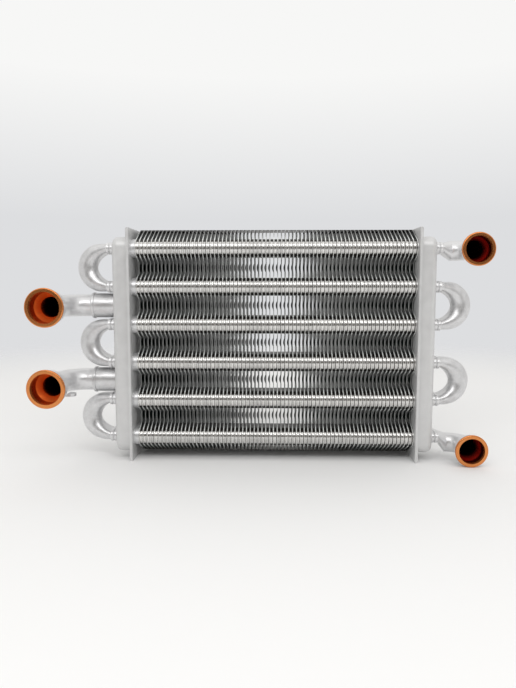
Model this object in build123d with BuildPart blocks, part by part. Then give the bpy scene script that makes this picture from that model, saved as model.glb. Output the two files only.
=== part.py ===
from build123d import *
from math import cos, radians, sin
import os

# Dual-circuit finned boiler heat exchanger, standing on the bottom edges of its two end plates.
# The tubes run along X, the pipe sockets face -Y and the rows are stacked along Z, row 1 on top.
# The origin is on the floor, below the middle of the whole width, in the plane of the tube axes.

# Rows of tubes
row_count = 6
row_pitch = 31.0
lowest_row_height = 19.0

# Fins
fin_count = 72
fin_pitch = 3.17
fin_thickness = 0.4
fin_back = 33.0
fin_valley = -1.5
fin_end_front = 7.0
fin_valley_flat = 8.0
fin_tip = -11.0
fin_overhang = 15.7
fold_clearance = 0.25
collar_wall = 0.5
collar_end = -11.1

# Oval heating tubes with the flat water tubes inside them
heating_tube_height = 14.5
heating_tube_depth = 29.0
heating_tube_wall = 0.8
heating_tube_stickout = 1.5
water_tube_height = 7.5
water_tube_depth = 20.7
water_tube_wall = 0.9
water_tube_stickout = 3.0
oval_flat = 0.1

# End plates, folded from sheet
sheet = 1.0
plate_height = 190.0
plate_front = -19.0
plate_back = 52.5
lip_width = 2.3
lip_corner = 1.2
outer_fold_radius = 1.5
inner_fold_radius = 0.5
left_plate_gap = 4.5
right_plate_gap = 0.6

# Header caps, pressed pans on the outer faces of the plates
cap_rise = 13.6
cap_half_depth = 17.0
cap_bottom = 7.0
cap_top = 183.0
cap_wall = 1.2
cap_edge_radius = 4.5
cap_corner_radius = 8.0

# Ferrules with two beads where a water tube leaves a cap
ferrule_length = 6.0
ferrule_wall = 1.0
ferrule_bead = 0.7

# Return bends: round at the apex, pressed flat towards their legs
bend_diameter = 15.9
bend_outer_radius = 19.4
bend_centre = 12.0
bend_wall = 1.0
leg_flat_length = 6.5
turn_sizes = {90: (19.0, 11.0), 45: (16.8, 15.0), 0: (bend_diameter, bend_diameter)}

# Heating pipes and their stubs on the left cap
heating_pipe_diameter = 18.0
heating_pipe_wall = 1.0
flow_reach = 42.3
return_reach = 43.1
heating_bend_radius = 19.0
heating_mouth = -52.5
stub_diameter = 20.0
stub_length = 20.0
stub_bead_diameter = 21.4
stub_bead_length = 2.6
stub_bead_round = 0.8
heating_pipe_seat = 3.0

# Water pipes on the right cap
water_pipe_diameter = 16.0
water_pipe_wall = 1.0
water_reach = 27.8
water_bend_radius = 14.0
water_mouth = -29.5
water_round_start = 13.5
outlet_droop = 1.9
inlet_droop = 5.9

# Sockets: mouth ring, body, bore, cone down to the pipe
mouth_ring = 2.6
mouth_round = 0.9
socket_cone = 4.0
heating_rim_radius = 15.0
heating_body_radius = 13.3
heating_bore_radius = 12.0
heating_bore_depth = 12.0
water_rim_radius = 13.0
water_body_radius = 11.4
water_bore_radius = 10.2
water_bore_depth = 9.0
heating_socket = (heating_body_radius, heating_rim_radius, heating_bore_radius, heating_bore_depth)
water_socket = (water_body_radius, water_rim_radius, water_bore_radius, water_bore_depth)

# Small leaf on the lower heating socket
tab_thickness = 2.4
tab_width = 8.0
tab_reach = 18.0
tab_drop = 6.7
tab_setback = 17.0

# Places worked out from the dimensions above
rows = range(1, row_count + 1)
pack_half_length = ((fin_count - 1) * fin_pitch + fin_thickness) / 2
left_reach = pack_half_length + left_plate_gap + sheet + cap_rise + return_reach + heating_rim_radius
right_reach = pack_half_length + right_plate_gap + sheet + cap_rise + water_reach + water_rim_radius
pack_centre = (left_reach - right_reach) / 2
left_plate_face = pack_centre - pack_half_length - left_plate_gap - sheet
right_plate_face = pack_centre + pack_half_length + right_plate_gap + sheet
left_cap_face = left_plate_face - cap_rise
right_cap_face = right_plate_face + cap_rise


def row_height(row):
    return lowest_row_height + (row_count - row) * row_pitch


def between_rows(row):
    return row_height(row) - row_pitch / 2


def oval(depth, height, mode=Mode.ADD):
    # An oval in the plane of the sketch, its two ends almost half round
    return RectangleRounded(depth, height, (min(depth, height) - oval_flat) / 2, mode=mode)


# Fins: one plate with a notch round each tube, then the whole pack
tube_half = heating_tube_height / 2
fin_top = row_height(1) + fin_overhang
fin_bottom = row_height(row_count) - fin_overhang
front_edge = []
for row in reversed(rows):
    axis = row_height(row)
    front_edge += [
        (fin_tip, axis - tube_half),
        (heating_tube_depth / 2, axis - tube_half),
        (heating_tube_depth / 2, axis + tube_half),
        (fin_tip, axis + tube_half),
    ]
    if row > 1:
        middle = axis + row_pitch / 2
        front_edge += [
            (fin_valley, middle - fin_valley_flat / 2),
            (fin_valley, middle + fin_valley_flat / 2),
        ]
ends = [(fin_end_front, fin_top), (fin_back, fin_top), (fin_back, fin_bottom), (fin_end_front, fin_bottom)]

with BuildPart() as last_fin:
    with BuildSketch(Plane.YZ):
        with BuildLine():
            Polyline(*front_edge, *ends, close=True)
        make_face()
    extrude(amount=fin_thickness)

fold_length = fin_pitch - fold_clearance
with BuildPart() as fin:
    add(last_fin.part)
    with BuildSketch(Plane.XZ.offset(-fin_back)):
        with Locations((0, fin_top)):
            Rectangle(fold_length, fin_thickness, align=(Align.MIN, Align.MAX))
        with Locations((0, fin_bottom)):
            Rectangle(fold_length, fin_thickness, align=(Align.MIN, Align.MIN))
    extrude(amount=fin_back - fin_end_front)

# The necks of the fins butt against each other, so each row of them is one sleeve on the tube nose
first_fin = pack_centre - pack_half_length
with BuildPart() as collar_row:
    with BuildSketch(Plane.YZ.offset(first_fin)):
        oval(heating_tube_depth + 2 * collar_wall, heating_tube_height + 2 * collar_wall)
        oval(heating_tube_depth, heating_tube_height, Mode.SUBTRACT)
        with Locations((collar_end, 0)):
            Rectangle(heating_tube_depth, row_pitch, align=(Align.MAX, Align.CENTER), mode=Mode.INTERSECT)
    extrude(amount=2 * pack_half_length)

with BuildPart() as fin_pack:
    with Locations(*[(first_fin + i * fin_pitch, 0, 0) for i in range(fin_count - 1)]):
        add(fin.part)
    with Locations((first_fin + (fin_count - 1) * fin_pitch, 0, 0)):
        add(last_fin.part)
    with Locations(*[(0, 0, row_height(row)) for row in rows]):
        add(collar_row.part)

pieces = {"fin_pack": fin_pack}


def straight_tube(start, end, row, depth, height, wall):
    with BuildPart() as tube:
        with BuildSketch(Plane.YZ.offset(start)):
            with Locations((0, row_height(row))):
                oval(depth, height)
                oval(depth - 2 * wall, height - 2 * wall, Mode.SUBTRACT)
        extrude(amount=end - start)
    return tube


for row in rows:
    pieces[f"heating_tube_{row}"] = straight_tube(
        left_plate_face - heating_tube_stickout,
        right_plate_face + heating_tube_stickout,
        row,
        heating_tube_depth,
        heating_tube_height,
        heating_tube_wall,
    )
    pieces[f"water_tube_{row}"] = straight_tube(
        left_cap_face - water_tube_stickout,
        right_cap_face + water_tube_stickout,
        row,
        water_tube_depth,
        water_tube_height,
        water_tube_wall,
    )


# End plates: a web with a lip folded outwards along the front and the back
def end_plate(outer_face, side):
    web_inside = outer_face - side * sheet
    middle = (plate_front + plate_back) / 2
    depth = plate_back - plate_front
    outwards = Axis((web_inside, 0, 0), (side, 0, 0))
    with BuildPart() as plate:
        with BuildSketch() as profile:
            with Locations((web_inside + side * lip_width / 2, middle)):
                Rectangle(lip_width, depth)
            with Locations((web_inside + side * (lip_width + sheet) / 2, middle)):
                Rectangle(lip_width - sheet, depth - 2 * sheet, mode=Mode.SUBTRACT)
            fillet(profile.vertices().group_by(outwards)[1], inner_fold_radius)
            fillet(profile.vertices().group_by(outwards)[0], outer_fold_radius)
        extrude(amount=plate_height)
        lip_ends = plate.faces().sort_by(outwards)[-2:]
        fillet(lip_ends.edges().filter_by(Axis.Y), lip_corner)
        with BuildSketch(Plane.YZ.offset(web_inside)):
            with Locations(*[(0, row_height(row)) for row in rows]):
                oval(heating_tube_depth, heating_tube_height)
        extrude(amount=side * sheet, mode=Mode.SUBTRACT)
    return plate


pieces["left_end_plate"] = end_plate(left_plate_face, -1)
pieces["right_end_plate"] = end_plate(right_plate_face, 1)


# Header caps: pans with their open side on the plate
def header_cap(plate_face, side, stub_heights):
    with BuildPart() as cap:
        with BuildSketch(Plane.YZ.offset(plate_face)):
            with Locations((0, (cap_top + cap_bottom) / 2)):
                RectangleRounded(2 * cap_half_depth, cap_top - cap_bottom, cap_corner_radius)
        extrude(amount=side * cap_rise)
        face = cap.faces().filter_by(Axis.X).sort_by(Axis.X)[-1 if side > 0 else 0]
        fillet(face.edges(), cap_edge_radius)
        open_side = cap.faces().filter_by(Axis.X).sort_by(Axis.X)[0 if side > 0 else -1]
        offset(amount=-cap_wall, openings=open_side)
        with BuildSketch(Plane.YZ.offset(plate_face + side * cap_rise)):
            with Locations(*[(0, row_height(row)) for row in rows]):
                oval(water_tube_depth, water_tube_height)
            with Locations(*[(0, height) for height in stub_heights]):
                Circle(stub_diameter / 2)
        extrude(amount=-side * cap_wall, mode=Mode.SUBTRACT)
    return cap


flow_height = between_rows(2)
return_height = between_rows(4)
pieces["left_header_cap"] = header_cap(left_plate_face, -1, [flow_height, return_height])
pieces["right_header_cap"] = header_cap(right_plate_face, 1, [])

# Divider between the two passes of heating water, fitted to the inside of the left cap
with BuildPart() as divider:
    with BuildSketch(Plane.XY.offset(between_rows(3))):
        with Locations(((left_plate_face + left_cap_face + cap_wall) / 2, 0)):
            Rectangle(cap_rise - cap_wall, 2 * (cap_half_depth - cap_wall))
    extrude(amount=cap_wall / 2, both=True)
    fillet(divider.edges().filter_by(Axis.Z).group_by(Axis.X)[0], cap_edge_radius - cap_wall)
pieces["header_divider"] = divider


# Ferrules: two chamfered beads round the joint of a water tube and its leg
bead_length = ferrule_length / 2
with BuildPart() as bead:
    with BuildSketch(Plane.YZ):
        oval(water_tube_depth + 2 * ferrule_wall, water_tube_height + 2 * ferrule_wall)
    extrude(amount=bead_length)
    chamfer(bead.faces().filter_by(Axis.X).edges(), ferrule_bead)
    with BuildSketch(Plane.YZ):
        oval(water_tube_depth, water_tube_height)
    extrude(amount=bead_length, mode=Mode.SUBTRACT)


def ferrule(cap_face, side, row):
    inner_end = min(cap_face, cap_face + side * ferrule_length)
    with BuildPart() as collar:
        with Locations(*[(inner_end + i * bead_length, 0, row_height(row)) for i in range(2)]):
            add(bead.part)
    return collar


for row in rows:
    pieces[f"ferrule_left_{row}"] = ferrule(left_cap_face, -1, row)
    pieces[f"ferrule_right_{row}"] = ferrule(right_cap_face, 1, row)


# Ovals along a pipe that is flat at one end and round at the other
def oval_across(origin, direction, depth, height):
    with BuildSketch(Plane(origin, (0, 1, 0), direction)) as section:
        oval(depth, height)
    return section.sketch


# Return bends: a straight flat leg in each row and a loft from one leg round the apex to the other
def turn_sections(cap_face, side, middle, wall):
    leg_end = cap_face + side * leg_flat_length
    leg_size = (water_tube_depth - 2 * wall, water_tube_height - 2 * wall)
    sections = [oval_across((leg_end, 0, middle + row_pitch / 2), (side, 0, 0), *leg_size)]
    for angle in (90, 45, 0, -45, -90):
        # The outer side keeps one radius, so that the pressing moves only the inner side
        depth, height = turn_sizes[abs(angle)]
        radius = bend_outer_radius - height / 2
        along = cap_face + side * (bend_centre + radius * cos(radians(angle)))
        up = middle + radius * sin(radians(angle))
        direction = (side * sin(radians(angle)), 0, -cos(radians(angle)))
        sections.append(oval_across((along, 0, up), direction, depth - 2 * wall, height - 2 * wall))
    sections.append(oval_across((leg_end, 0, middle - row_pitch / 2), (-side, 0, 0), *leg_size))
    return sections


def return_bend(cap_face, side, upper_row):
    middle = between_rows(upper_row)
    with BuildPart() as bend:
        loft(turn_sections(cap_face, side, middle, 0))
        loft(turn_sections(cap_face, side, middle, bend_wall), mode=Mode.SUBTRACT)
        with BuildSketch(Plane.YZ.offset(cap_face + side * water_tube_stickout)):
            with Locations((0, row_height(upper_row)), (0, row_height(upper_row + 1))):
                oval(water_tube_depth, water_tube_height)
                oval(water_tube_depth - 2 * bend_wall, water_tube_height - 2 * bend_wall, Mode.SUBTRACT)
        extrude(amount=side * (leg_flat_length - water_tube_stickout))
    return bend


for number, upper_row in enumerate((1, 3, 5), start=1):
    pieces[f"water_bend_left_{number}"] = return_bend(left_cap_face, -1, upper_row)
for number, upper_row in enumerate((2, 4), start=1):
    pieces[f"water_bend_right_{number}"] = return_bend(right_cap_face, 1, upper_row)


# Stubs on the left cap: a seat for the pipe, with a bead round its open end
def stub(height):
    outer = stub_diameter / 2
    seat = heating_pipe_diameter / 2
    root = left_cap_face + cap_wall
    seat_end = left_cap_face - heating_pipe_seat
    mouth = left_cap_face - stub_length
    with BuildPart() as sleeve:
        with BuildSketch(Plane.XZ):
            with BuildLine():
                Polyline(
                    (root, height + seat - heating_pipe_wall),
                    (root, height + outer),
                    (mouth, height + outer),
                    (mouth, height + seat),
                    (seat_end, height + seat),
                    (seat_end, height + seat - heating_pipe_wall),
                    close=True,
                )
            make_face()
            with Locations((mouth + stub_bead_length / 2, height + (seat + stub_bead_diameter / 2) / 2)):
                RectangleRounded(stub_bead_length, stub_bead_diameter / 2 - seat, stub_bead_round)
        revolve(axis=Axis((0, 0, height), (1, 0, 0)))
    return sleeve


pieces["flow_stub"] = stub(flow_height)
pieces["return_stub"] = stub(return_height)


# Sockets: the pipe widens through a cone to the bore, with a ring round the mouth
def socket_section(centre, mouth, height, pipe, wall, body, rim, bore, bore_depth):
    cone_end = mouth + bore_depth + socket_cone
    with BuildSketch(Plane.XY.offset(height)) as section:
        with BuildLine():
            Polyline(
                (centre + pipe - wall, cone_end),
                (centre + bore, mouth + bore_depth),
                (centre + bore, mouth),
                (centre + rim, mouth),
                (centre + rim, mouth + mouth_ring),
                (centre + body, mouth + mouth_ring),
                (centre + body, mouth + bore_depth),
                (centre + pipe, cone_end),
                close=True,
            )
        make_face()
        fillet(section.vertices().group_by(Axis.X)[-1], mouth_round)
    return section.sketch


def heating_elbow(height, reach):
    axis_x = left_cap_face - reach
    radius = heating_pipe_diameter / 2
    cone_end = heating_mouth + heating_bore_depth + socket_cone
    start = (left_cap_face - heating_pipe_seat, 0, height)
    with BuildPart() as elbow:
        with BuildLine() as route:
            FilletPolyline(start, (axis_x, 0, height), (axis_x, cone_end, height), radius=heating_bend_radius)
        with BuildSketch(Plane(start, (0, 1, 0), (-1, 0, 0))):
            Circle(radius)
            Circle(radius - heating_pipe_wall, mode=Mode.SUBTRACT)
        sweep(path=route.wire())
        section = socket_section(axis_x, heating_mouth, height, radius, heating_pipe_wall, *heating_socket)
        revolve(section, Axis((axis_x, 0, height), (0, 1, 0)))
    return elbow


pieces["flow_elbow"] = heating_elbow(flow_height, flow_reach)
pieces["return_elbow"] = heating_elbow(return_height, return_reach)


# Water elbows: flat at the cap, round before the bend, drooping a little below their row
def water_elbow(row, droop):
    leg_height = row_height(row)
    height = leg_height - droop
    axis_x = right_cap_face + water_reach
    radius = water_pipe_diameter / 2
    wall = water_pipe_wall
    cone_end = water_mouth + water_bore_depth + socket_cone
    leg_end = (right_cap_face + leg_flat_length, 0, leg_height)
    start = (right_cap_face + water_round_start, 0, height)

    def flat_to_round(shrink):
        flat = oval_across(leg_end, (1, 0, 0), water_tube_depth - shrink, water_tube_height - shrink)
        full = oval_across(start, (1, 0, 0), water_pipe_diameter - shrink, water_pipe_diameter - shrink)
        return [flat, full]

    with BuildPart() as elbow:
        loft(flat_to_round(0))
        loft(flat_to_round(2 * wall), mode=Mode.SUBTRACT)
        with BuildSketch(Plane.YZ.offset(right_cap_face + water_tube_stickout)):
            with Locations((0, leg_height)):
                oval(water_tube_depth, water_tube_height)
                oval(water_tube_depth - 2 * wall, water_tube_height - 2 * wall, Mode.SUBTRACT)
        extrude(amount=leg_flat_length - water_tube_stickout)
        with BuildLine() as route:
            FilletPolyline(start, (axis_x, 0, height), (axis_x, cone_end, height), radius=water_bend_radius)
        with BuildSketch(Plane(start, (0, 1, 0), (1, 0, 0))):
            Circle(radius)
            Circle(radius - wall, mode=Mode.SUBTRACT)
        sweep(path=route.wire())
        section = socket_section(axis_x, water_mouth, height, radius, wall, *water_socket)
        revolve(section, Axis((axis_x, 0, height), (0, 1, 0)))
    return elbow


pieces["water_outlet_elbow"] = water_elbow(1, outlet_droop)
pieces["water_inlet_elbow"] = water_elbow(row_count, inlet_droop)

# Leaf on the body of the lower heating socket, its free end rounded to a point
with BuildPart() as tab:
    with BuildSketch(Plane.XY.offset(return_height - tab_drop)):
        with Locations((left_cap_face - return_reach + tab_reach / 2, heating_mouth + tab_setback)):
            leaf = Rectangle(tab_reach, tab_width)
        fillet(leaf.vertices().group_by(Axis.X)[-1], tab_width / 2 - oval_flat)
    extrude(amount=tab_thickness / 2, both=True)
    with Locations((left_cap_face - return_reach, 0, return_height)):
        Cylinder(heating_body_radius, plate_height, rotation=(90, 0, 0), mode=Mode.SUBTRACT)
pieces["locating_tab"] = tab

os.makedirs("parts", exist_ok=True)
for name, piece in pieces.items():
    piece.part.label = name
    export_step(piece.part, f"parts/{name}.step")
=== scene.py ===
import bpy
import bmesh
import math
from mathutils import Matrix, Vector


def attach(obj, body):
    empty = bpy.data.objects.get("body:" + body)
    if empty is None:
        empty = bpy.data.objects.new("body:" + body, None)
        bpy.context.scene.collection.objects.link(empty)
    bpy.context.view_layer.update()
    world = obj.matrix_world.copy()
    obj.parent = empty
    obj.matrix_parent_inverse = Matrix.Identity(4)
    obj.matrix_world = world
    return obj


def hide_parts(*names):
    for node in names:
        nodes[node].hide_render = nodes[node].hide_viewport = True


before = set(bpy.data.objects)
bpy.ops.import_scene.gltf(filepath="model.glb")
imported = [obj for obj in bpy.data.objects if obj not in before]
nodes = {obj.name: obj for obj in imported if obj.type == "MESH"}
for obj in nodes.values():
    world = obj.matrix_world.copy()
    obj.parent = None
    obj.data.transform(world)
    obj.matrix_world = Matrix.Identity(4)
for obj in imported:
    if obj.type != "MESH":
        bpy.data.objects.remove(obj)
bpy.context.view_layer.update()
bpy.context.scene.view_settings.view_transform = "Standard"
mm = 0.001
perMetre = 1000     # a noise's scale is this over the size in mm
finPitch = 3.17     # mm, for the fins and for the tone that changes from fin to fin
print("frame loaded:", len(nodes), "nodes")


# Small helpers
def linear(hexColour):
    # sRGB hex to the linear colour that the shaders want
    parts = [int(hexColour[i:i + 2], 16) / 255 for i in (1, 3, 5)]
    return tuple(c / 12.92 if c <= 0.04045 else ((c + 0.055) / 1.055) ** 2.4
                 for c in parts) + (1.0,)


def addNode(tree, kind, settings=None, inputs=None):
    # one node with its settings; each input takes a plain value or the socket that feeds it
    node = tree.nodes.new(kind)
    for name, value in (settings or {}).items():
        setattr(node, name, value)
    for socket, value in (inputs or {}).items():
        if isinstance(value, bpy.types.NodeSocket):
            tree.links.new(value, node.inputs[socket])
        else:
            node.inputs[socket].default_value = value
    return node


def newMaterial(name):
    material = bpy.data.materials.new(name)
    material.use_nodes = True
    material.node_tree.nodes.clear()
    return material, material.node_tree


def dress(names, material):
    for name in names:
        slots = nodes[name].data.materials
        slots.clear()
        slots.append(material)


def meshObject(name, points, faces, smooth=False):
    # points in mm
    mesh = bpy.data.meshes.new(name)
    mesh.from_pydata([Vector(p) * mm for p in points], [], faces)
    mesh.validate()
    for polygon in mesh.polygons:
        polygon.use_smooth = smooth
    made = bpy.data.objects.new(name, mesh)
    bpy.context.scene.collection.objects.link(made)
    return made


# Camera
cameraSet = {
    "place": (0.00846, -0.50036, 0.146155),    # metres
    "aim": (-0.02487, 0.99459, -0.10083),
    "lens": 31.57,       # mm
    "sensor": 36,        # mm, along the longer side of the picture
    "nearest": 0.01,     # metres
}
lens = bpy.data.cameras.new("photoLens")
lens.lens = cameraSet["lens"]
lens.sensor_width = cameraSet["sensor"]
lens.clip_start = cameraSet["nearest"]
camera = bpy.data.objects.new("camera", lens)
camera.location = cameraSet["place"]
camera.rotation_mode = "QUATERNION"
camera.rotation_quaternion = Vector(cameraSet["aim"]).to_track_quat("-Z", "Y")
bpy.context.scene.collection.objects.link(camera)
bpy.context.scene.camera = camera
print("camera set")


# Floor, backdrop and light
studio = {
    "floorColour": "#F2F2F2",
    "floorRoughness": 0.8,
    "floorSpecular": 0.2,
    "floorHalf": 1500,               # mm
    "floorFade": (0.45, 1.1),        # metres from the middle where it melts into the backdrop
    "backdropLow": "#DDDEE0",
    "backdropHigh": "#F7F7F6",
    "backdropFade": (0.10, 0.31),    # height of a direction: 0 is level, 1 is straight up
    "domeColour": "#FFFEFC",
    "domeFade": (0.5, 0.85),         # height where the side light gives way to the top light
    "sideLight": 0.78,
    "topLight": 1.0,
    "lampPlace": (0.0, -0.58, 0.62),     # metres, as the lamp's aim and size
    "lampAim": (0.0, 0.0, 0.09),
    "lampSize": (0.85, 0.20),
    "lampPower": 1.65,
    "boardColour": "#57514B",
    "boardSize": (1100, 280),        # mm
    "boardPlace": (8, -560, 190),
}


def makeWorld():
    # the camera sees the backdrop's own fade; everything else is lit by a plain white dome
    world = bpy.data.worlds.new("studioWorld")
    world.use_nodes = True
    tree = world.node_tree
    tree.nodes.clear()
    where = addNode(tree, "ShaderNodeTexCoord").outputs["Generated"]
    height = addNode(tree, "ShaderNodeSeparateXYZ", inputs={0: where}).outputs["Z"]
    low, high = studio["backdropFade"]
    seenMix = addNode(tree, "ShaderNodeMapRange",
                      inputs={"Value": height, "From Min": low, "From Max": high})
    seen = addNode(tree, "ShaderNodeMix", {"data_type": "RGBA"},
                   {"Factor": seenMix.outputs[0], 6: linear(studio["backdropLow"]),
                    7: linear(studio["backdropHigh"])})
    low, high = studio["domeFade"]
    strength = addNode(tree, "ShaderNodeMapRange", {"interpolation_type": "SMOOTHSTEP"},
                       {"Value": height, "From Min": low, "From Max": high,
                        "To Min": studio["sideLight"], "To Max": studio["topLight"]})
    lightPath = addNode(tree, "ShaderNodeLightPath")
    seenShade = addNode(tree, "ShaderNodeBackground", inputs={"Color": seen.outputs[2]})
    dome = addNode(tree, "ShaderNodeBackground",
                   inputs={"Color": linear(studio["domeColour"]), "Strength": strength.outputs[0]})
    both = addNode(tree, "ShaderNodeMixShader",
                   inputs={0: lightPath.outputs["Is Camera Ray"], 1: dome.outputs[0],
                           2: seenShade.outputs[0]})
    addNode(tree, "ShaderNodeOutputWorld", inputs={"Surface": both.outputs[0]})
    bpy.context.scene.world = world


def makeLamp():
    # wide soft box above the front, which draws the white streak along everything round
    box = bpy.data.lights.new("softBox", "AREA")
    box.shape = "RECTANGLE"
    box.size, box.size_y = studio["lampSize"]
    box.energy = studio["lampPower"]
    lamp = bpy.data.objects.new("softBox", box)
    lamp.location = studio["lampPlace"]
    lamp.rotation_mode = "QUATERNION"
    down = Vector(studio["lampAim"]) - Vector(studio["lampPlace"])
    lamp.rotation_quaternion = down.to_track_quat("-Z", "Y")
    bpy.context.scene.collection.objects.link(lamp)


def makeFloor():
    half = studio["floorHalf"]
    corners = [(-half, -half, 0), (half, -half, 0), (half, half, 0), (-half, half, 0)]
    floor = meshObject("floor", corners, [(0, 1, 2, 3)])
    material, tree = newMaterial("paperFloor")   # matt white paper, gone where the backdrop begins
    where = addNode(tree, "ShaderNodeTexCoord").outputs["Object"]
    far = addNode(tree, "ShaderNodeVectorMath", {"operation": "LENGTH"},
                  {0: where}).outputs["Value"]
    start, end = studio["floorFade"]
    fade = addNode(tree, "ShaderNodeMapRange", {"interpolation_type": "SMOOTHSTEP"},
                   {"Value": far, "From Min": start, "From Max": end})
    paper = addNode(tree, "ShaderNodeBsdfPrincipled",
                    inputs={"Base Color": linear(studio["floorColour"]),
                            "Roughness": studio["floorRoughness"],
                            "Specular IOR Level": studio["floorSpecular"]})
    gone = addNode(tree, "ShaderNodeBsdfTransparent")
    both = addNode(tree, "ShaderNodeMixShader",
                   inputs={0: fade.outputs[0], 1: paper.outputs[0], 2: gone.outputs[0]})
    addNode(tree, "ShaderNodeOutputMaterial", inputs={"Surface": both.outputs[0]})
    floor.data.materials.append(material)


def makeBoard():
    # dark board behind the camera: it gives the bright noses their brown-grey middle line
    wide, tall = (size / 2 for size in studio["boardSize"])
    x, y, z = studio["boardPlace"]
    corners = [(x - wide, y, z - tall), (x + wide, y, z - tall),
               (x + wide, y, z + tall), (x - wide, y, z + tall)]
    board = meshObject("darkBoard", corners, [(0, 1, 2, 3)])
    material, tree = newMaterial("darkCloth")    # matt brown-grey that only glossy metal sees
    cloth = addNode(tree, "ShaderNodeBsdfDiffuse", inputs={"Color": linear(studio["boardColour"])})
    addNode(tree, "ShaderNodeOutputMaterial", inputs={"Surface": cloth.outputs[0]})
    board.data.materials.append(material)
    board.visible_camera = False
    board.visible_diffuse = False
    board.visible_shadow = False


makeWorld()
makeLamp()
makeFloor()
makeBoard()
print("studio made")


# Finishes: grain and wave are (size, depth) in mm, shade is how far both change the tone.
# The real grain of the coat is under 0.1 mm; it is drawn at 0.5 mm and more so that it shows
finish = {
    "casing": {"colour": "#D3D3D3", "metallic": 0.30, "roughness": 0.42,
               "grain": (0.5, 0.008), "wave": (9, 0.05), "shade": 0.05},
    "tube": {"colour": "#DEDEDF", "metallic": 0.68, "roughness": 0.33,
             "grain": (0.7, 0.012), "wave": (6, 0.30), "shade": 0.12},
    "ferrule": {"colour": "#E4E4E5", "metallic": 0.50, "roughness": 0.30,
                "grain": (0.7, 0.008), "wave": (5, 0.10), "shade": 0.08},
    # painted light: fin faces and fin edges are one dip coat, drawn as a dark shaded copy and a
    # light lit copy
    "finFace": {"colour": "#404A48", "metallic": 0.65, "roughness": 0.32,
                "grain": (0.6, 0.008), "wave": (6, 0.05), "shade": 0.10},
    "finEdge": {"colour": "#EEF1EF", "metallic": 0.08, "roughness": 0.45,
                "grain": (0.6, 0.010), "wave": (3, 0.05), "shade": 0.16},
    "finEnd": {"colour": "#453F3B", "metallic": 0.55, "roughness": 0.34,
               "grain": (0.6, 0.008), "wave": (3, 0.03), "shade": 0.10},
    "collar": {"colour": "#E2E1DF", "metallic": 0.95, "roughness": 0.19,
               "grain": (0.6, 0.004), "wave": (2.4, 0.02), "shade": 0.05},
    "copper": {"colour": "#D8794A", "metallic": 1.00, "roughness": 0.22,
               "grain": (0.8, 0.006), "wave": (6, 0.06), "shade": 0.08},
}
noiseMiddle = {"From Min": 0.3, "From Max": 0.7}     # the range that a noise mostly stays in
roughSpread = (0.88, 1.15)     # the slow waves change the roughness by these shares
# painted shade: the heating tube takes this dark colour along the stretch that the fins cover
tubeInPack = {"colour": "#2B2826", "middle": 10.6, "half": 113.0}    # X of the fins, in mm
mottle = {"low": 0.82, "high": 1.06}     # how far the tone of one fin differs from the next
rubbed = {"from": -13.4, "to": -11.8}    # Y in mm where the rubbed noses turn into the dull edge
# painted shade: the fin edge is drawn darker from the noses back into the recessed valleys
valleyShade = {"from": -10.0, "to": -2.5, "tone": 0.44}    # the edge darkens from noses to valleys


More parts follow.
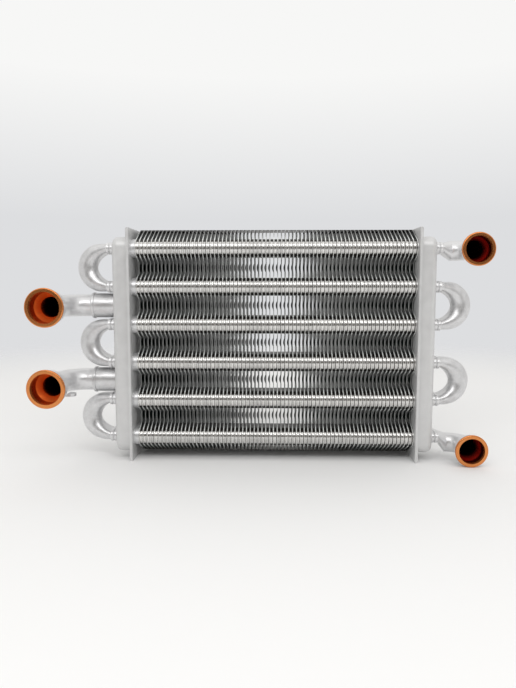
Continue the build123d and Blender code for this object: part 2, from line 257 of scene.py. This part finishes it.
def metalFinish(name, key, finByFin=False, inPack=False, rubbedKey=None):
    # grain and slow waves in tone and surface; the flags add what only some pieces have
    look = finish[key]
    grainSize, grainDepth = look["grain"]
    waveSize, waveDepth = look["wave"]
    shade, roughness = look["shade"], look["roughness"]
    material, tree = newMaterial(name)
    place = addNode(tree, "ShaderNodeTexCoord").outputs["Object"]
    along = addNode(tree, "ShaderNodeSeparateXYZ", inputs={0: place})
    grain = addNode(tree, "ShaderNodeTexNoise",
                    inputs={"Vector": place, "Scale": perMetre / grainSize}).outputs[0]
    wave = addNode(tree, "ShaderNodeTexNoise",
                   inputs={"Vector": place, "Scale": perMetre / waveSize}).outputs[0]
    waveTone = addNode(tree, "ShaderNodeMapRange",
                       inputs={"Value": wave, **noiseMiddle,
                               "To Min": 1 - shade, "To Max": 1 + shade / 2})
    grainTone = addNode(tree, "ShaderNodeMapRange",
                        inputs={"Value": grain, **noiseMiddle,
                                "To Min": 1 - shade, "To Max": 1.0})
    tone = addNode(tree, "ShaderNodeMath", {"operation": "MULTIPLY"},
                   {0: waveTone.outputs[0], 1: grainTone.outputs[0]}).outputs[0]
    if finByFin:
        number = addNode(tree, "ShaderNodeMath", {"operation": "MULTIPLY"},
                         {0: along.outputs["X"], 1: perMetre / finPitch}).outputs[0]
        whole = addNode(tree, "ShaderNodeMath", {"operation": "FLOOR"}, {0: number}).outputs[0]
        chance = addNode(tree, "ShaderNodeTexWhiteNoise", {"noise_dimensions": "1D"}, {"W": whole})
        ownTone = addNode(tree, "ShaderNodeMapRange",
                          inputs={"Value": chance.outputs["Value"],
                                  "To Min": mottle["low"], "To Max": mottle["high"]})
        tone = addNode(tree, "ShaderNodeMath", {"operation": "MULTIPLY"},
                       {0: tone, 1: ownTone.outputs[0]}).outputs[0]
    if rubbedKey:
        # painted shade towards the valleys
        valleyShadeTone = addNode(tree, "ShaderNodeMapRange",
                       inputs={"Value": along.outputs["Y"], "From Min": valleyShade["from"] * mm,
                               "From Max": valleyShade["to"] * mm, "To Min": 1.0,
                               "To Max": valleyShade["tone"]}).outputs[0]
        tone = addNode(tree, "ShaderNodeMath", {"operation": "MULTIPLY"},
                       {0: tone, 1: valleyShadeTone}).outputs[0]
    base = addNode(tree, "ShaderNodeVectorMath", {"operation": "SCALE"},
                   {0: linear(look["colour"])[:3], "Scale": tone}).outputs[0]
    # painted shade on the tube where it lies between the fins
    if inPack:
        off = addNode(tree, "ShaderNodeMath", {"operation": "SUBTRACT"},
                      {0: along.outputs["X"], 1: tubeInPack["middle"] * mm}).outputs[0]
        away = addNode(tree, "ShaderNodeMath", {"operation": "ABSOLUTE"}, {0: off}).outputs[0]
        covered = addNode(tree, "ShaderNodeMath", {"operation": "LESS_THAN"},
                          {0: away, 1: tubeInPack["half"] * mm}).outputs[0]
        base = addNode(tree, "ShaderNodeMix", {"data_type": "RGBA"},
                       {"Factor": covered, 6: base, 7: linear(tubeInPack["colour"])}).outputs[2]
    fineBump = addNode(tree, "ShaderNodeBump",
                       inputs={"Height": grain, "Strength": 1.0,
                               "Distance": grainDepth * mm}).outputs[0]
    bump = addNode(tree, "ShaderNodeBump",
                   inputs={"Height": wave, "Normal": fineBump, "Strength": 1.0,
                           "Distance": waveDepth * mm}).outputs[0]
    rough = addNode(tree, "ShaderNodeMapRange",
                    inputs={"Value": wave, **noiseMiddle, "To Min": roughness * roughSpread[0],
                            "To Max": roughness * roughSpread[1]}).outputs[0]
    shader = addNode(tree, "ShaderNodeBsdfPrincipled",
                     inputs={"Base Color": base, "Metallic": look["metallic"],
                             "Roughness": rough, "Normal": bump})
    if rubbedKey:
        bright = finish[rubbedKey]
        dull = addNode(tree, "ShaderNodeMapRange",
                       inputs={"Value": along.outputs["Y"], "From Min": rubbed["from"] * mm,
                               "From Max": rubbed["to"] * mm})
        shine = addNode(tree, "ShaderNodeBsdfPrincipled",
                        inputs={"Base Color": linear(bright["colour"]),
                                "Metallic": bright["metallic"], "Roughness": bright["roughness"]})
        shader = addNode(tree, "ShaderNodeMixShader",
                         inputs={0: dull.outputs[0], 1: shine.outputs[0], 2: shader.outputs[0]})
    addNode(tree, "ShaderNodeOutputMaterial", inputs={"Surface": shader.outputs[0]})
    return material


# matt pale grey of the plates and caps
casingPaint = metalFinish("aluminiumPaintOnSheet", "casing")
# satin pale grey with soft streaks
tubePaint = metalFinish("aluminiumPaintOnPipe", "tube")
# the same, with painted shade where the tube lies between the fins
tubeWithPackShade = metalFinish("paintedTubeShadedInPack", "tube", inPack=True)
# brighter ring round each tube end
ferruleShine = metalFinish("brightSolderOnFerrule", "ferrule")
# green-grey gloss, seen deep between the fins, darkened as painted shade for the deep gaps
shadedFinCoat = metalFinish("aluminiumDipOnFinShaded", "finFace")
# light line down the front of each fin, rubbed bright on the noses: a lit copy of the same dip
litEdgeCoat = metalFinish("aluminiumDipOnEdgeLit", "finEdge", finByFin=True, rubbedKey="collar")
# brown-grey folded ends, where the copper shows through the dip, darkened further as painted shade
# for their shadowed undersides
endCoatAndShade = metalFinish("aluminiumDipOnFoldShaded", "finEnd", finByFin=True)
# the brightest metal, in bands down the noses
collarShine = metalFinish("rubbedAluminiumOnCollar", "collar", finByFin=True)
# plain orange metal of the parts inside, which hardly show
bareCopper = metalFinish("drawnCopper", "copper")

dress([n for n in nodes if n.endswith(("end_plate", "header_cap"))], casingPaint)
dress([n for n in nodes if n.startswith(("water_bend", "locating"))], tubePaint)
dress([n for n in nodes if n.endswith("stub")], tubePaint)
dress([n for n in nodes if n.startswith("heating_tube")], tubeWithPackShade)
dress([n for n in nodes if n.startswith("ferrule")], ferruleShine)
dress([n for n in nodes if n.startswith("water_tube") or n == "header_divider"], bareCopper)
print("finishes made")


# Elbows: painted pipe with a bare copper mouth and bore, the bore drawn with painted shade.
# In mm: axis is (X, Z), mouth is Y, bore is the depth of the wide part, walls are the inner radii
# of that part and of the pipe, and bend is the radius of the turn, negative towards -X
wideSocket = {"mouth": -52.5, "bore": 12, "walls": (12.65, 8.5), "bend": 19,
              "colours": "wideCopperAndShade"}
narrowSocket = {"mouth": -29.5, "bore": 9, "walls": (10.8, 7.5), "bend": -14,
                "colours": "narrowCopperAndShade"}
sockets = {
    "flow_elbow": {"axis": (-163.535, 127.5), **wideSocket},
    "return_elbow": {"axis": (-164.335, 65.5), **wideSocket},
    "water_outlet_elbow": {"axis": (166.335, 172.1), **narrowSocket},
    "water_inlet_elbow": {"axis": (166.335, 13.1), **narrowSocket},
}
mouthFinish = {
    "bareLength": 4.0,     # mm of the mouth that the paint leaves bare
    "ragged": 1.4,         # how far the paint's end wanders
    "raggedSize": 2.4,
    "raggedDetail": 3.0,
    "coneLength": 4.0,     # from the wide part of the bore to the pipe
    "rimDepth": 1.6,       # mm behind which the scraped rim has turned into the smooth bore
    "rimMetallic": 0.92,
    "rimRoughness": 0.26,
    "boreMetallic": 0.6,
    "boreRoughness": 0.24,
    "depth": 40.0,         # mm that the colours below are spread over, from the mouth inwards
    # painted shade and painted highlight: the bores darken to near black with depth, the narrow
    # ones more, and the wide ones' cone is drawn bright orange
    "wideCopperAndShade": ((0.0, "#DE8E52"), (0.05, "#CC7A42"), (0.12, "#B03C14"), (0.27, "#A82E0C"),
                    (0.31, "#FF8A3C"), (0.40, "#EE6C22"), (0.55, "#52200E"), (1.0, "#120906")),
    "narrowCopperAndShade": ((0.0, "#DE8E52"), (0.05, "#C47036"), (0.10, "#4A1006"), (0.20, "#3C0B05"),
                      (0.25, "#B42014"), (0.31, "#4A0E07"), (0.50, "#1C0603"), (1.0, "#0C0302")),
    "dentSize": 6.0,       # the pipe outside is bent by hand and slightly uneven
    "dentDepth": 0.42,
}


def insideMask(tree, place, size):
    # 1 on the inner walls of the socket, of the straight pipe and of its bend
    axisX, axisZ = size["axis"]
    bend, radius = size["bend"], abs(size["bend"])
    wideWall, pipeWall = size["walls"]
    alongY = addNode(tree, "ShaderNodeSeparateXYZ", inputs={0: place}).outputs["Y"]
    across = addNode(tree, "ShaderNodeVectorMath", {"operation": "MULTIPLY_ADD"},
                     {0: place, 1: (1, 0, 1), 2: (-axisX * mm, 0, -axisZ * mm)}).outputs[0]
    fromAxis = addNode(tree, "ShaderNodeVectorMath", {"operation": "LENGTH"},
                       {0: across}).outputs["Value"]
    coneStart = size["mouth"] + size["bore"]
    wall = addNode(tree, "ShaderNodeMapRange",
                   inputs={"Value": alongY, "From Min": coneStart * mm,
                           "From Max": (coneStart + mouthFinish["coneLength"]) * mm,
                           "To Min": wideWall * mm, "To Max": pipeWall * mm}).outputs[0]
    withinWall = addNode(tree, "ShaderNodeMath", {"operation": "LESS_THAN"},
                         {0: fromAxis, 1: wall}).outputs[0]
    beforeBend = addNode(tree, "ShaderNodeMath", {"operation": "LESS_THAN"},
                         {0: alongY, 1: -radius * mm}).outputs[0]
    straight = addNode(tree, "ShaderNodeMath", {"operation": "MULTIPLY"},
                       {0: withinWall, 1: beforeBend}).outputs[0]
    bendCentre = (axisX + bend, -radius, axisZ)
    over = addNode(tree, "ShaderNodeVectorMath", {"operation": "ADD"},
                   {0: place, 1: tuple(-c * mm for c in bendCentre)}).outputs[0]
    overParts = addNode(tree, "ShaderNodeSeparateXYZ", inputs={0: over})
    flat = addNode(tree, "ShaderNodeVectorMath", {"operation": "MULTIPLY"},
                   {0: over, 1: (1, 1, 0)}).outputs[0]
    ring = addNode(tree, "ShaderNodeVectorMath", {"operation": "LENGTH"},
                   {0: flat}).outputs["Value"]
    offRing = addNode(tree, "ShaderNodeMath", {"operation": "SUBTRACT"},
                      {0: ring, 1: radius * mm}).outputs[0]
    section = addNode(tree, "ShaderNodeCombineXYZ",
                      inputs={0: offRing, 2: overParts.outputs["Z"]}).outputs[0]
    fromBend = addNode(tree, "ShaderNodeVectorMath", {"operation": "LENGTH"},
                       {0: section}).outputs["Value"]
    withinBend = addNode(tree, "ShaderNodeMath", {"operation": "LESS_THAN"},
                         {0: fromBend, 1: pipeWall * mm}).outputs[0]
    pastStart = addNode(tree, "ShaderNodeMath", {"operation": "GREATER_THAN"},
                        {0: overParts.outputs["Y"], 1: 0.0}).outputs[0]
    side = "LESS_THAN" if bend > 0 else "GREATER_THAN"
    beforeEnd = addNode(tree, "ShaderNodeMath", {"operation": side},
                        {0: overParts.outputs["X"], 1: 0.0}).outputs[0]
    quarter = addNode(tree, "ShaderNodeMath", {"operation": "MULTIPLY"},
                      {0: pastStart, 1: beforeEnd}).outputs[0]
    inBend = addNode(tree, "ShaderNodeMath", {"operation": "MULTIPLY"},
                     {0: withinBend, 1: quarter}).outputs[0]
    inside = addNode(tree, "ShaderNodeMath", {"operation": "MAXIMUM"},
                     {0: straight, 1: inBend}).outputs[0]
    return inside, alongY


def elbowFinish(name, size):
    # paint outside, scraped copper on the rim, copper in the bore with painted shade that darkens
    # it to near black with depth and a painted highlight on the cone
    look, mouth = finish["tube"], size["mouth"]
    material, tree = newMaterial(name)
    place = addNode(tree, "ShaderNodeTexCoord").outputs["Object"]
    inside, alongY = insideMask(tree, place, size)
    ragged = addNode(tree, "ShaderNodeTexNoise",
                     inputs={"Vector": place, "Scale": perMetre / mouthFinish["raggedSize"],
                             "Detail": mouthFinish["raggedDetail"]}).outputs[0]
    paintStart = mouth + mouthFinish["bareLength"] - mouthFinish["ragged"] / 2
    paintEnd = addNode(tree, "ShaderNodeMath", {"operation": "MULTIPLY_ADD"},
                       {0: ragged, 1: mouthFinish["ragged"] * mm, 2: paintStart * mm}).outputs[0]
    atMouth = addNode(tree, "ShaderNodeMath", {"operation": "LESS_THAN"},
                      {0: alongY, 1: paintEnd}).outputs[0]
    bare = addNode(tree, "ShaderNodeMath", {"operation": "MAXIMUM"},
                   {0: inside, 1: atMouth}).outputs[0]
    depth = addNode(tree, "ShaderNodeMapRange",
                    inputs={"Value": alongY, "From Min": mouth * mm,
                            "From Max": (mouth + mouthFinish["depth"]) * mm}).outputs[0]
    # painted shade: the copper colour darkens with depth into the bore
    ramp = addNode(tree, "ShaderNodeValToRGB", inputs={0: depth})
    stops = ramp.color_ramp.elements
    for i, (position, shade) in enumerate(mouthFinish[size["colours"]]):
        stop = stops[i] if i < 2 else stops.new(position)     # a new ramp has two stops
        stop.position, stop.color = position, linear(shade)
    rim = {"Value": alongY, "From Min": mouth * mm,
           "From Max": (mouth + mouthFinish["rimDepth"]) * mm}
    shine = addNode(tree, "ShaderNodeMapRange",
                    inputs={**rim, "To Min": mouthFinish["rimMetallic"],
                            "To Max": mouthFinish["boreMetallic"]}).outputs[0]
    rough = addNode(tree, "ShaderNodeMapRange",
                    inputs={**rim, "To Min": mouthFinish["rimRoughness"],
                            "To Max": mouthFinish["boreRoughness"]}).outputs[0]
    wave = addNode(tree, "ShaderNodeTexNoise",
                   inputs={"Vector": place, "Scale": perMetre / mouthFinish["dentSize"]}).outputs[0]
    bump = addNode(tree, "ShaderNodeBump",
                   inputs={"Height": wave, "Strength": 1.0,
                           "Distance": mouthFinish["dentDepth"] * mm}).outputs[0]
    paint = addNode(tree, "ShaderNodeBsdfPrincipled",
                    inputs={"Base Color": linear(look["colour"]), "Metallic": look["metallic"],
                            "Roughness": look["roughness"], "Normal": bump})
    copper = addNode(tree, "ShaderNodeBsdfPrincipled",
                     inputs={"Base Color": ramp.outputs[0], "Metallic": shine, "Roughness": rough})
    both = addNode(tree, "ShaderNodeMixShader",
                   inputs={0: bare, 1: paint.outputs[0], 2: copper.outputs[0]})
    addNode(tree, "ShaderNodeOutputMaterial", inputs={"Surface": both.outputs[0]})
    return material


for name, size in sockets.items():
    # satin grey pipe, orange mouth, bore with painted shade and a painted highlight
    dress([name], elbowFinish("paintCopperAndShade_" + name, size))
print("elbows dressed")


# Fin pack, in mm
finSet = {
    "count": 72,
    "pitch": finPitch,
    "sheet": 0.26,
    "firstFace": -102.135,       # X of the first fin
    "rowCount": 6,
    "rowPitch": 31,
    "lowestRow": 19,             # Z of the lowest tube's axis
    "tubeHalfDepth": 14.5,
    "noseRadius": 7.25,
    "noseTurn": 50,              # degrees above and below the nose where the fin grips the tube
    "noseSteps": 3,
    "rearSteps": 8,
    "shoulder": (-11.0, 6.9),    # where the comb's front edge starts, (Y, distance from the axis)
    "valley": -1.5,              # Y of the front edge between two rows
    "valleyHalf": 4.0,
    "endFront": 7.0,             # Y of the front edge above the top row and below the lowest one
    "back": 33.0,
    "top": 189.7,
    "bottom": 3.3,
    "flapRoot": 8.0,             # from here forward the sheet in a valley is pressed sideways
    "flapBulge": -1.4,
    "flapSteps": 6,
    "flapShape": ((0, 0), (0.25, 0.7), (0.5, 1), (0.75, 0.7), (1, 0.12)),    # (forward, share)
    "jitter": 0.08,              # how far a fin may stand off its place
    "seed": 4,
}
noseCentre = -(finSet["tubeHalfDepth"] - finSet["noseRadius"])
rows = [finSet["lowestRow"] + finSet["rowPitch"] * i for i in range(finSet["rowCount"])]
weld = 1e-6     # metres


def arc(centreY, centreZ, radius, start, end, steps):
    # points (Y, Z) on an arc, angles in degrees from -Y towards +Z
    turns = [math.radians(start + (end - start) * i / steps) for i in range(steps + 1)]
    return [(centreY - radius * math.cos(t), centreZ + radius * math.sin(t)) for t in turns]


def finSheet():
    # one fin as a flat comb, with a curved flap in each valley
    radius, steps, shape = finSet["noseRadius"], finSet["flapSteps"], finSet["flapShape"]
    edge, root = finSet["valley"], finSet["flapRoot"]
    turn, noseSteps = finSet["noseTurn"], finSet["noseSteps"]
    shoulderY, shoulderOff = finSet["shoulder"]
    outline, flaps = [], []
    for i, axis in enumerate(rows):
        outline.append((shoulderY, axis - shoulderOff))
        outline += arc(noseCentre, axis, radius, -turn, -90, noseSteps)
        outline += arc(-noseCentre, axis, radius, -90, -270, finSet["rearSteps"])
        outline += arc(noseCentre, axis, radius, 90, turn, noseSteps)
        outline.append((shoulderY, axis + shoulderOff))
        if i < len(rows) - 1:
            middle = (axis + rows[i + 1]) / 2
            low, high = middle - finSet["valleyHalf"], middle + finSet["valleyHalf"]
            outline += [(edge, low), (root, low)]
            outline += [(root, low + (high - low) * k / steps) for k in range(1, steps)]
            outline += [(root, high), (edge, high)]
            flaps.append((low, high))
    outline += [(finSet["endFront"], finSet["top"]), (finSet["back"], finSet["top"]),
                (finSet["back"], finSet["bottom"]), (finSet["endFront"], finSet["bottom"])]
    mesh = bmesh.new()
    mesh.faces.new([mesh.verts.new((0, y * mm, z * mm)) for y, z in outline])
    mesh.normal_update()     # without its normal the comb would be cut across the valleys
    bmesh.ops.triangulate(mesh, faces=mesh.faces)
    for low, high in flaps:
        grid = []
        for k in range(steps + 1):
            bulge = finSet["flapBulge"] * (1 - (2 * k / steps - 1) ** 2)
            z = low + (high - low) * k / steps
            grid.append([mesh.verts.new((bulge * share * mm, (root + (edge - root) * forward) * mm,
                                         z * mm)) for forward, share in shape])
        for a, b in zip(grid, grid[1:]):
            for k in range(len(shape) - 1):
                mesh.faces.new((a[k], a[k + 1], b[k + 1], b[k]))
    bmesh.ops.remove_doubles(mesh, verts=mesh.verts, dist=weld)
    bmesh.ops.recalc_face_normals(mesh, faces=mesh.faces)
    if sum(f.normal.x for f in mesh.faces) < 0:
        bmesh.ops.reverse_faces(mesh, faces=mesh.faces)
    data = bpy.data.meshes.new("finShape")
    mesh.to_mesh(data)
    mesh.free()
    made = bpy.data.objects.new("finSheets", data)
    bpy.context.scene.collection.objects.link(made)
    wall = made.modifiers.new("wall", "SOLIDIFY")
    wall.thickness = finSet["sheet"] * mm
    wall.offset = 1
    return made


edgeSet = {
    "depth": 0.7,
    "width": 0.85,
    "valleyWidth": 0.6,
    "endWidth": 0.5,             # above the top row and below the lowest one
    "rim": 0.85,                 # how far the edge stands round the nose of a tube
    "rimTurn": 66,               # degrees of the nose that it follows, above and below the axis
    "rimSteps": 10,
    "valleyLead": (2.4, 1.3),    # last point before a valley, (forward, away from its corner)
    "valleyCorner": 0.35,        # how far the two corners of a valley lie behind its edge
    "valleyReach": 3,            # the valley's width starts this far in front of its edge
    "endReach": 8,               # and the end's width this far above or below the outer rows
    "endCut": 0.2,               # the edge stops this far short of the fin's end
    "section": ((1, 0.45), (0.45, 1), (-0.45, 1), (-1, 0.45), (-1, -0.8), (1, -0.8)),
}


def frontEdge():
    # the line of a fin's front edge from bottom to top: (sideways bulge, Y, Z)
    radius = finSet["noseRadius"] + edgeSet["rim"] - edgeSet["depth"] / 2
    steps, half, turn = finSet["flapSteps"], finSet["valleyHalf"], edgeSet["rimTurn"]
    bulge = finSet["flapBulge"] * finSet["flapShape"][-1][1]
    leadY, leadZ = finSet["valley"] - edgeSet["valleyLead"][0], half + edgeSet["valleyLead"][1]
    line = [(0, finSet["endFront"], finSet["bottom"] + edgeSet["endCut"])]
    for i, axis in enumerate(rows):
        nose = arc(noseCentre, axis, radius, -turn, turn, edgeSet["rimSteps"])
        line += [(0, y, z) for y, z in nose]
        if i < len(rows) - 1:
            middle = (axis + rows[i + 1]) / 2
            line.append((0, leadY, middle - leadZ))
            for k in range(steps + 1):
                place = 2 * k / steps - 1
                back = edgeSet["valleyCorner"] if abs(place) == 1 else 0.0
                line.append((bulge * (1 - place ** 2), finSet["valley"] + back,
                             middle + half * place))
            line.append((0, leadY, middle + leadZ))
    line.append((0, finSet["endFront"], finSet["top"] - edgeSet["endCut"]))
    return line


def turnOut(made):
    # faces point outwards
    mesh = bmesh.new()
    mesh.from_mesh(made.data)
    bmesh.ops.recalc_face_normals(mesh, faces=mesh.faces)
    mesh.to_mesh(made.data)
    mesh.free()
    return made


def finHem():
    # rolled edge that follows the front of one fin, six-sided in section
    line = [Vector(p) for p in frontEdge()]
    deep, section = edgeSet["depth"] / 2, edgeSet["section"]
    lowest, highest = rows[0] - edgeSet["endReach"], rows[-1] + edgeSet["endReach"]
    points, faces = [], []
    for i, p in enumerate(line):
        before, after = line[max(i - 1, 0)], line[min(i + 1, len(line) - 1)]
        along = (after - before).normalized()
        outward = Vector((0, -along.z, along.y)).normalized()
        inEnd = p.z > highest or p.z < lowest
        inValley = p.y > finSet["valley"] - edgeSet["valleyReach"]
        width = edgeSet["endWidth" if inEnd else "valleyWidth" if inValley else "width"]
        for sideways, forward in section:
            x = finSet["sheet"] / 2 + sideways * width / 2
            points.append(p + Vector((x, 0, 0)) + outward * forward * deep)
    count = len(section)
    for i in range(len(line) - 1):
        for k in range(count):
            a, b = i * count + k, i * count + (k + 1) % count
            faces.append((a, b, b + count, a + count))
    faces.append(tuple(range(count)))
    faces.append(tuple((len(line) - 1) * count + k for k in reversed(range(count))))
    return turnOut(meshObject("finEdges", points, faces, smooth=True))


foldSet = {
    "length": 2.92,
    "radius": 0.9,
    "steps": 3,
    "leg": 2.2,        # how far the fold runs down beside its fin
    "front": 0.3,      # how far it stands in front of the fin's end edge
    "tip": 0.02,       # how far its tip lies inside the fin's height
}


def finFold():
    # the turned-over end of a fin: a short bend and a flat flange that reaches the next fin
    radius, steps, sheet = foldSet["radius"], foldSet["steps"], finSet["sheet"]
    small = radius - sheet
    points, faces = [], []
    for end, sign in ((finSet["top"], -1), (finSet["bottom"], 1)):
        outer = [(0, end + sign * foldSet["leg"])]
        inner = [(sheet, end + sign * foldSet["leg"])]
        for k in range(steps + 1):
            turn = math.radians(90 * k / steps)
            for side, bow in ((outer, radius), (inner, small)):
                side.append((radius - bow * math.cos(turn),
                             end + sign * (radius - bow * math.sin(turn))))
        outer.append((foldSet["length"], end + sign * foldSet["tip"]))
        inner.append((foldSet["length"], end + sign * sheet))
        profile = outer + inner[::-1]
        base, count = len(points), len(profile)
        for y in (finSet["endFront"] - foldSet["front"], finSet["back"]):
            points += [(x, y, z) for x, z in profile]
        for k in range(count):
            after = (k + 1) % count
            faces.append((base + k, base + after, base + count + after, base + count + k))
        faces.append(tuple(base + k for k in range(count)))
        faces.append(tuple(base + count + k for k in reversed(range(count))))
    return turnOut(meshObject("finEnds", points, faces))


collarSet = {
    "half": 42,        # degrees of the nose that a collar covers, above and below the axis
    "steps": 8,
    "proud": 0.55,
    "gap": 0.6,        # from the end of a collar to the next fin
    "rise": ((0, 0.3), (0.35, 0.85)),    # (from its start, share of the height)
    "fall": ((0.5, 0.85), (0, 0.25)),    # (before its end, share of the height)
    "skin": 0.02,      # its height where it runs out above and below
}


def noseCollar():
    # the part of a fin that is drawn out along the tube as far as the next fin
    start, end = edgeSet["width"] / 2, finSet["pitch"] - collarSet["gap"]
    proud, steps = collarSet["proud"], collarSet["steps"]
    profile = [(start + x, share * proud) for x, share in collarSet["rise"]]
    profile.append(((start + end) / 2, proud))
    profile += [(end - x, share * proud) for x, share in collarSet["fall"]]
    points, faces = [], []
    for i in range(steps + 1):
        share = 2 * i / steps - 1
        angle = math.radians(collarSet["half"] * share)
        for x, rise in profile:
            radius = finSet["noseRadius"] + (rise if abs(share) < 1 else collarSet["skin"])
            points.append((x, noseCentre - radius * math.cos(angle), radius * math.sin(angle)))
    count = len(profile)
    for i in range(steps):
        for k in range(count - 1):
            a = i * count + k
            faces.append((a, a + 1, a + count + 1, a + count))
    return meshObject("noseCollars", points, faces, smooth=True)


def repeatTree(name, material, across):
    # a line of copies along X, and up the rows when across is true
    tree = bpy.data.node_groups.new(name, "GeometryNodeTree")
    face = tree.interface
    face.new_socket("Geometry", in_out="INPUT", socket_type="NodeSocketGeometry")
    for label, kind in (("Fin count", "Int"), ("Fin pitch", "Float"), ("First fin", "Float"),
                        ("Row count", "Int"), ("Row pitch", "Float"), ("Lowest row", "Float"),
                        ("Unevenness", "Float"), ("Seed", "Int")):
        face.new_socket(label, in_out="INPUT", socket_type="NodeSocket" + kind)
    face.new_socket("Geometry", in_out="OUTPUT", socket_type="NodeSocketGeometry")
    given = addNode(tree, "NodeGroupInput").outputs
    start = addNode(tree, "ShaderNodeCombineXYZ", inputs={0: given["First fin"]})
    step = addNode(tree, "ShaderNodeCombineXYZ", inputs={0: given["Fin pitch"]})
    line = addNode(tree, "GeometryNodeMeshLine",
                   inputs={"Count": given["Fin count"], "Start Location": start.outputs[0],
                           "Offset": step.outputs[0]})
    places = line.outputs[0]
    number = addNode(tree, "GeometryNodeInputIndex")
    if across:
        rise = addNode(tree, "ShaderNodeCombineXYZ", inputs={2: given["Row pitch"]})
        low = addNode(tree, "ShaderNodeCombineXYZ", inputs={2: given["Lowest row"]})
        column = addNode(tree, "GeometryNodeMeshLine",
                         inputs={"Count": given["Row count"], "Start Location": low.outputs[0],
                                 "Offset": rise.outputs[0]})
        lines = addNode(tree, "GeometryNodeInstanceOnPoints",
                        inputs={"Points": column.outputs[0], "Instance": places})
        places = addNode(tree, "GeometryNodeRealizeInstances",
                         inputs={0: lines.outputs[0]}).outputs[0]
    high = given["Unevenness"]
    low = addNode(tree, "ShaderNodeMath", {"operation": "MULTIPLY"}, {0: high, 1: -1.0})
    wander = addNode(tree, "FunctionNodeRandomValue", {"data_type": "FLOAT"},
                     {2: low.outputs[0], 3: high, "ID": number.outputs[0], "Seed": given["Seed"]})
    nudge = addNode(tree, "ShaderNodeCombineXYZ", inputs={0: wander.outputs[1]})
    moved = addNode(tree, "GeometryNodeSetPosition",
                    inputs={"Geometry": places, "Offset": nudge.outputs[0]})
    copies = addNode(tree, "GeometryNodeInstanceOnPoints",
                     inputs={"Points": moved.outputs[0], "Instance": given["Geometry"]})
    real = addNode(tree, "GeometryNodeRealizeInstances", inputs={0: copies.outputs[0]})
    coat = addNode(tree, "GeometryNodeSetMaterial",
                   inputs={0: real.outputs[0], "Material": material})
    addNode(tree, "NodeGroupOutput", inputs={0: coat.outputs[0]})
    return tree


def repeat(made, tree, values):
    # runs the tree, keeps its result as a plain mesh and takes the modifiers off
    modifier = made.modifiers.new("copies", "NODES")
    modifier.node_group = tree
    identifiers = {item.name: item.identifier for item in tree.interface.items_tree
                   if item.in_out == "INPUT"}
    for label, value in values.items():
        modifier[identifiers[label]] = value
    depsgraph = bpy.context.evaluated_depsgraph_get()
    result = bpy.data.meshes.new_from_object(made.evaluated_get(depsgraph), depsgraph=depsgraph)
    result.name = made.name
    made.modifiers.clear()
    made.data = result
    triangles = sum(len(p.vertices) - 2 for p in result.polygons)
    print(made.name, triangles, "triangles")
    return made


everyFin = {
    "Fin count": finSet["count"],
    "Fin pitch": finSet["pitch"] * mm,
    "First fin": finSet["firstFace"] * mm,
    "Row count": finSet["rowCount"],
    "Row pitch": finSet["rowPitch"] * mm,
    "Lowest row": finSet["lowestRow"] * mm,
    "Unevenness": finSet["jitter"] * mm,
    "Seed": finSet["seed"],
}
everyGap = {**everyFin, "Fin count": finSet["count"] - 1}
finSheets = repeat(finSheet(), repeatTree("finRow", shadedFinCoat, False), everyFin)
finEdges = repeat(finHem(), repeatTree("edgeRow", litEdgeCoat, False), everyFin)
finEnds = repeat(finFold(), repeatTree("endRow", endCoatAndShade, False), everyGap)
noseCollars = repeat(noseCollar(), repeatTree("collarGrid", collarShine, True),
                     {**everyGap, "Unevenness": 0.0})
for piece in (finSheets, finEdges, finEnds, noseCollars):
    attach(piece, "root")
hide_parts("fin_pack")
print("fin pack made")
